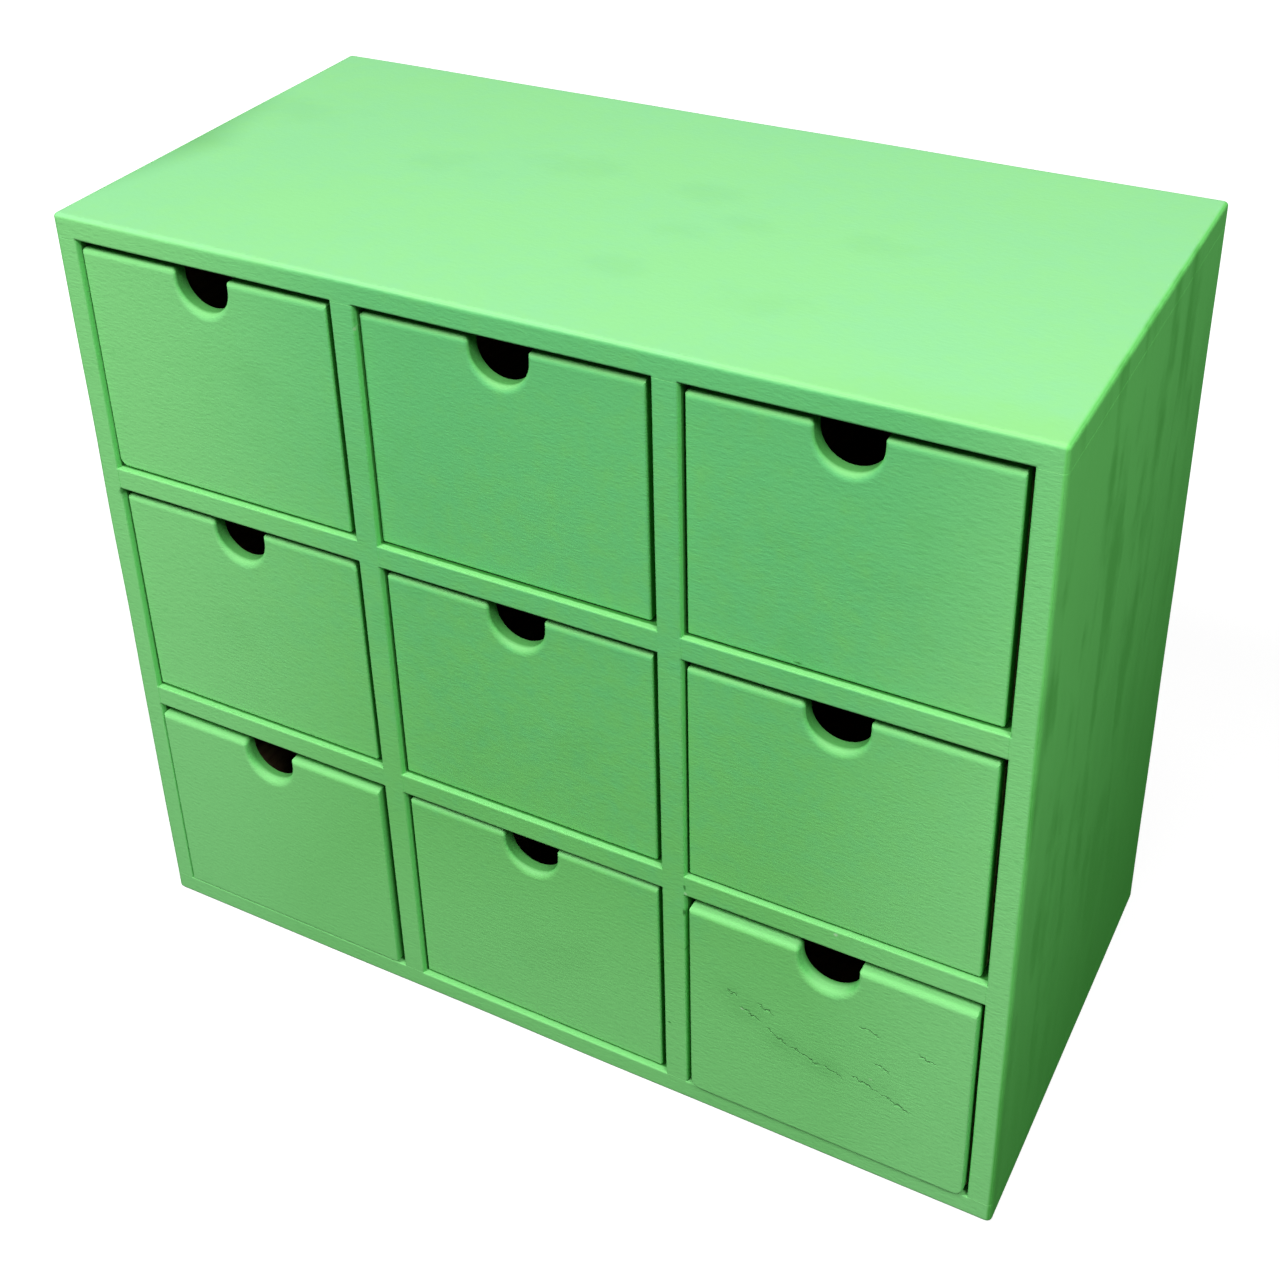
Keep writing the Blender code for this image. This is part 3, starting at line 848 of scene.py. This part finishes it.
def corner(point, across, upright, radius, first, last, share, plain):
    """Points of a rounded square corner after the outline is drawn in.

    Its two edges move in by a share of the roundings across and upright, or
    by a plain distance. The corner's own radius shrinks by as much, but never
    below the least one, so that it stays a small arc. Returned with the points
    are how wide the rounding is and how much painted shade the edge behind it takes.
    """
    steps = int(np.ceil(abs(last - first) / ARC_STEP_DEGREES))
    angle = np.radians(np.linspace(first, last, steps + 1))
    ray = np.stack([np.cos(angle), np.sin(angle)], axis=1)
    width = np.abs(np.array((across, upright)))
    moved = share[:, None] * width + plain[:, None]
    left = np.maximum(radius - moved.mean(axis=1), LEAST_RADIUS)[:, None]
    centre = np.array(point) - (moved + left) * np.sign((across, upright))
    return centre[:, None] + left[:, None] * ray, (ray ** 2) @ width, np.ones(len(ray))


def notch(middle, straight_end, share, plain):
    """Points of the notch's half circle, which grows to a deeper oval as the outline is drawn in.

    Each point lies at the notch's radius, grown by a share of the rounding
    and a plain distance, in the direction of its ray. Returned with them are
    how wide the rounding is and how much painted shade the wall behind it takes.
    """
    angle = np.radians(np.linspace(0, -180, 180 // ARC_STEP_DEGREES + 1))
    ray = np.stack([np.cos(angle), np.sin(angle)], axis=1)
    width = np.array((NOTCH_SIDE_ROUND, NOTCH_LOW_ROUND))
    reach = NOTCH_RADIUS + share[:, None] * width + plain[:, None]
    points = np.array((middle, straight_end)) + reach[:, None] * ray
    return points, (ray ** 2) @ width, np.full(len(ray), NOTCH_DARK)


def front_rings(low, high, worn, share, plain):
    """Outlines of a drawer front seen from the front, anticlockwise, one for each amount drawn in.

    Four corners, the notch's half circle on two short straight walls, and a
    lip at the top of each wall, with even steps along the straights. Returns
    the points of each outline, and for each point how wide the rounding is
    and how much painted shade the edge behind it takes.
    """
    radii = {name: WORN_RADIUS if name in worn else CORNER_RADIUS
             for name in ("low_left", "low_right", "high_right", "high_left")}
    middle = (low[0] + high[0]) / 2
    left_x, right_x = middle - NOTCH_RADIUS, middle + NOTCH_RADIUS
    lips = NOTCH_SIDE_ROUND
    parts = [
        corner((low[0], low[1]), -SIDE_ROUND, -LOW_ROUND, radii["low_left"], 180, 270, share, plain),
        corner((high[0], low[1]), SIDE_ROUND, -LOW_ROUND, radii["low_right"], 270, 360, share, plain),
        corner((high[0], high[1]), SIDE_ROUND, TOP_ROUND, radii["high_right"], 0, 90, share, plain),
        corner((right_x, high[1]), -lips, TOP_ROUND, RIGHT_LIP_RADIUS, 90, 180, share, plain),
        notch(middle, high[1] - NOTCH_STRAIGHT, share, plain),
        corner((left_x, high[1]), lips, TOP_ROUND, LEFT_LIP_RADIUS, 0, 90, share, plain),
        corner((low[0], high[1]), -SIDE_ROUND, TOP_ROUND, radii["high_left"], 90, 180, share, plain),
    ]
    turns = np.concatenate([points for points, width, dark in parts], axis=1)
    traits = np.concatenate([(width, dark) for points, width, dark in parts], axis=1)
    change = np.roll(turns, -1, axis=1) - turns
    trend = np.roll(traits, -1, axis=1) - traits
    counts = np.maximum(1, np.ceil(np.linalg.norm(change[0], axis=1) / OUTLINE_STEP)).astype(int)
    row = np.repeat(np.arange(len(counts)), counts)
    along = (np.arange(counts.sum()) - np.repeat(counts.cumsum() - counts, counts)) / counts[row]
    return turns[:, row] + along[:, None] * change[:, row], *(traits[:, row] + along * trend[:, row])


def drawer_front(name, box, worn):
    """A drawer front: its outline carried from face to back through rings.

    Each ring is the outline drawn in by one number and set back by another;
    the face and the back are flat ends. The rounding of the face is a quarter
    circle, wide along the top and narrow at the other edges, and a little uneven.
    """
    thick = box[1, 1] - box[0, 1]
    turn = np.radians(np.linspace(0, 90, TURN_RINGS))
    share = np.concatenate([[1], 1 - np.sin(turn), np.zeros(RINGS_BEHIND)])
    rear = np.array((REAR_TURN, 1)) * REAR_ROUND
    plain = np.concatenate([[FLAT_RIM], np.zeros(TURN_RINGS + 2), rear, [REAR_ROUND + FLAT_RIM]])
    flat, width, dark = front_rings(box[0, (0, 2)], box[1, (0, 2)], worn, share, plain)
    even = np.stack([flat[TURN_RINGS, :, 0], np.full(len(width), box[0, 1]), flat[TURN_RINGS, :, 1]], axis=1)
    width = width * (1 + ROUND_UNEVEN * wobble(even, ROUND_UNEVEN_LENGTH, 5))
    depth = np.concatenate([np.zeros((1, len(width))), (1 - np.cos(turn))[:, None] * width])
    rest = np.array((thick * MIDDLE_RING, thick - REAR_ROUND, thick - REAR_ROUND * REAR_TURN, thick, thick))
    depth = np.concatenate([depth, np.repeat(rest[:, None], len(width), axis=1)])
    points = np.stack([flat[..., 0], box[0, 1] + depth, flat[..., 1]], axis=-1)
    numbers = np.arange(points[..., 0].size).reshape(len(share), -1)
    onward = np.roll(numbers, -1, axis=1)
    faces = np.stack([numbers[:-1], numbers[1:], onward[1:], onward[:-1]], axis=-1).reshape(-1, 4)
    piece = put_mesh(name, points.reshape(-1, 3), faces, (numbers[0], numbers[-1][::-1]))
    # Painted shade on the walls behind the rounding, less on the notch, only behind the carcase's front
    behind_face = points[..., 1] > FRONT_Y + FRONT_DARK_FROM
    darkness = np.concatenate([np.zeros(TURN_RINGS - 1), [DARK_AT_TURN], np.ones(RINGS_BEHIND + 1)])
    unpainted = np.arange(len(share)) > TURN_RINGS + 3
    layers = {"unpainted": np.outer(unpainted, np.ones(len(dark))),
              "gap_shade": np.outer(darkness, dark) * behind_face}
    for layer_name, values in layers.items():
        layer = piece.data.attributes.new(layer_name, "FLOAT", "POINT")
        layer.data.foreach_set("value", values.ravel().astype(np.float32))
    return piece


FRONT_SMUDGES = [((x, FRONT_Y, z), (reach, 0.010, reach * 0.7), strength) for x, z, reach, strength in (
    (0.094, 0.258, 0.013, 0.05), (0.133, 0.251, 0.015, 0.05), (0.141, 0.236, 0.012, 0.05),
    (0.078, 0.255, 0.010, 0.05), (-0.127, 0.152, 0.020, 0.05), (0.008, 0.046, 0.022, 0.06),
    (0.020, 0.150, 0.018, 0.05), (-0.100, 0.262, 0.018, 0.05), (0.088, 0.060, 0.012, 0.10),
    (0.102, 0.051, 0.012, 0.13), (0.117, 0.048, 0.012, 0.13), (0.137, 0.047, 0.010, 0.08),
    (0.080, 0.067, 0.010, 0.08))]
FRONT_SPOTS = [((0.1024, FRONT_Y, 0.2146), (0.0022, 0.010, 0.0005), 0.85)]
# Where the grain has opened on the bottom right front: x and z of both ends
GRAIN_CRACKS = (
    (0.0840, 0.0600, 0.0935, 0.0565), (0.0945, 0.0555, 0.1040, 0.0500), (0.1040, 0.0508, 0.1160, 0.0462),
    (0.1165, 0.0475, 0.1250, 0.0448), (0.1270, 0.0490, 0.1380, 0.0448), (0.1375, 0.0452, 0.1500, 0.0402),
    (0.1290, 0.0740, 0.1380, 0.0720), (0.1340, 0.0582, 0.1420, 0.0560), (0.1500, 0.0700, 0.1580, 0.0682),
    (0.0910, 0.0650, 0.0990, 0.0628), (0.0790, 0.0668, 0.0850, 0.0645))
FRONT_CHIPS = [((x, FRONT_Y, z), (reach, 0.010, reach * 0.5), 1) for x, z, reach in (
    (0.0860, 0.0600, 0.0010), (0.1345, 0.0500, 0.0009))]
front_paint = GreenPaint("front_paint", FAR).paint(FRONT_SMUDGES, FRONT_SPOTS, FRONT_CHIPS, GRAIN_CRACKS)
for drawer in DRAWERS:
    node = drawer + "_drawer_front"
    front = drawer_front("painted_" + node, node_box(node), WORN_CORNERS.get(drawer, ()))
    fit_piece(front, node, drawer, front_paint)

# ---------------------------------------------------------------------------
# Drawer boxes. Bare wood sides and back glued behind each front, and a thin
# hardboard bottom slid into grooves of the sides.
# ---------------------------------------------------------------------------
BOX_EDGE = 0.0005
BOX_STEP = 0.02
GLUE_LAP = np.array((-0.0003, 0.0003))
PLANED_ROUGHNESS = 0.66
STREAK_HEIGHT = 0.00005
PORE_DEPTH = 0.00003


def bare_wood(name, along):
    """Unfinished planed wood with its grain along one axis."""
    finish = Finish(name)
    colour, streaks, pores = wood_colour(finish, along)
    finish.join(finish.shader, {
        "Base Color": colour,
        "Roughness": PLANED_ROUGHNESS + (streaks - 0.5) * 0.2,
        "Normal": finish.emboss(streaks * STREAK_HEIGHT - pores * PORE_DEPTH),
        "Specular IOR Level": BARE_SHEEN,
    })
    return finish.material


side_wood = bare_wood("side_wood", ALONG_Y)
back_wood = bare_wood("back_wood", ALONG_X)
bottom_hardboard = hardboard("bottom_hardboard", FAR)
for drawer in DRAWERS:
    front_box = node_box(drawer + "_drawer_front")
    bottom_box = node_box(drawer + "_bottom")
    for side in ("left", "right"):
        node = drawer + "_" + side + "_side"
        box = node_box(node)
        box[0, 1] = front_box[1, 1]
        groove = bottom_box + ((0, -FAR, 0), (0, FAR, 0))
        piece = plain_board("wood_" + node, box, [groove], BOX_EDGE, BOX_STEP)
        fit_piece(piece, node, drawer, side_wood)
    node = drawer + "_back"
    box = node_box(node)
    box[0, 2] = bottom_box[1, 2]
    box[:, 0] += GLUE_LAP
    piece = plain_board("wood_" + node, box, (), BOX_EDGE, BOX_STEP)
    fit_piece(piece, node, drawer, back_wood)
    node = drawer + "_bottom"
    box = bottom_box.copy()
    box[0, 1] = front_box[1, 1]
    piece = plain_board("hardboard_" + node, box, (), THIN_EDGE, BOX_STEP)
    fit_piece(piece, node, drawer, bottom_hardboard)
